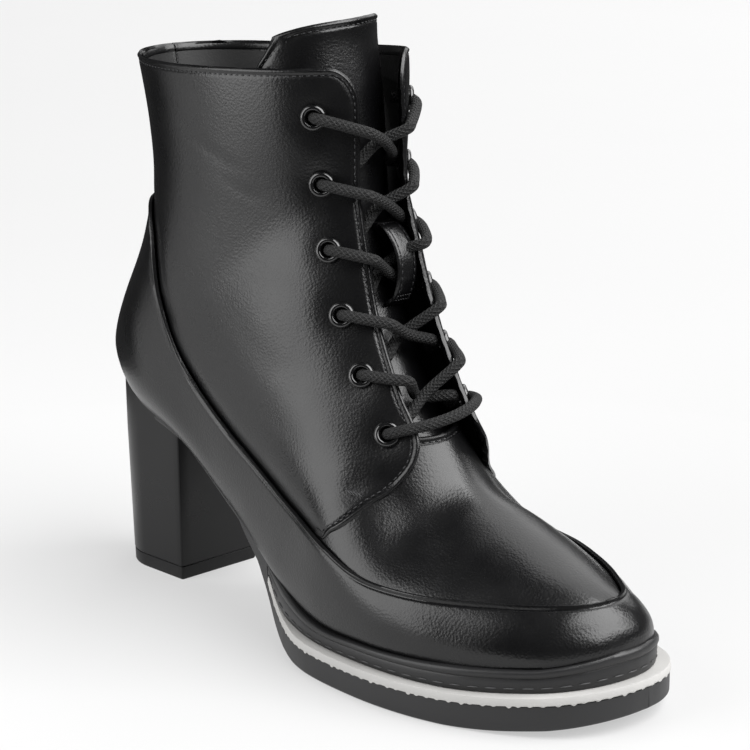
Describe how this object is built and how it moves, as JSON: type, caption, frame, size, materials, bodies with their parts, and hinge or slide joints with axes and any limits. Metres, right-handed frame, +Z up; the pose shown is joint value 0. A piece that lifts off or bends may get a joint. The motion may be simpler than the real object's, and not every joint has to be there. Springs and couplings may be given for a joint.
{
  "type": "heeled ankle boot",
  "caption": "Black leather lace-up ankle boot for the right foot, with a wrap-round mudguard, a block heel, a tall tongue and a thick forefoot sole edged by an off-white strip.",
  "frame": {"origin": "on the ground under the middle of the boot's box", "axes": "+X towards the toe, +Y towards the inner side of the foot, +Z up"},
  "size_m": [0.2354, 0.0922, 0.2002],
  "materials": {
    "leather": "smooth, semi-gloss",
    "lining": "matt",
    "rubber": "satin",
    "heel_rubber": "satin",
    "strip_rubber": "matt",
    "lace": "braided",
    "eyelet_metal": "gloss"
  },
  "bodies": {
    "root": {"eyelet_inner_1": "eyelet_metal", "eyelet_inner_2": "eyelet_metal", "eyelet_inner_3": "eyelet_metal", "eyelet_inner_4": "eyelet_metal", "eyelet_inner_5": "eyelet_metal", "eyelet_inner_6": "eyelet_metal", "eyelet_outer_1": "eyelet_metal", "eyelet_outer_2": "eyelet_metal", "eyelet_outer_3": "eyelet_metal", "eyelet_outer_4": "eyelet_metal", "eyelet_outer_5": "eyelet_metal", "eyelet_outer_6": "eyelet_metal", "heel": "heel_rubber", "insole": "lining", "lace_bar": "lace", "lace_cross_1": "lace", "lace_cross_2": "lace", "lace_cross_3": "lace", "lace_cross_4": "lace", "lace_cross_5": "lace", "midsole": "rubber", "outsole": "rubber", "pull_loop": "leather", "tongue": "leather", "upper": "leather", "welt": "strip_rubber"}
  },
  "joints": []
}
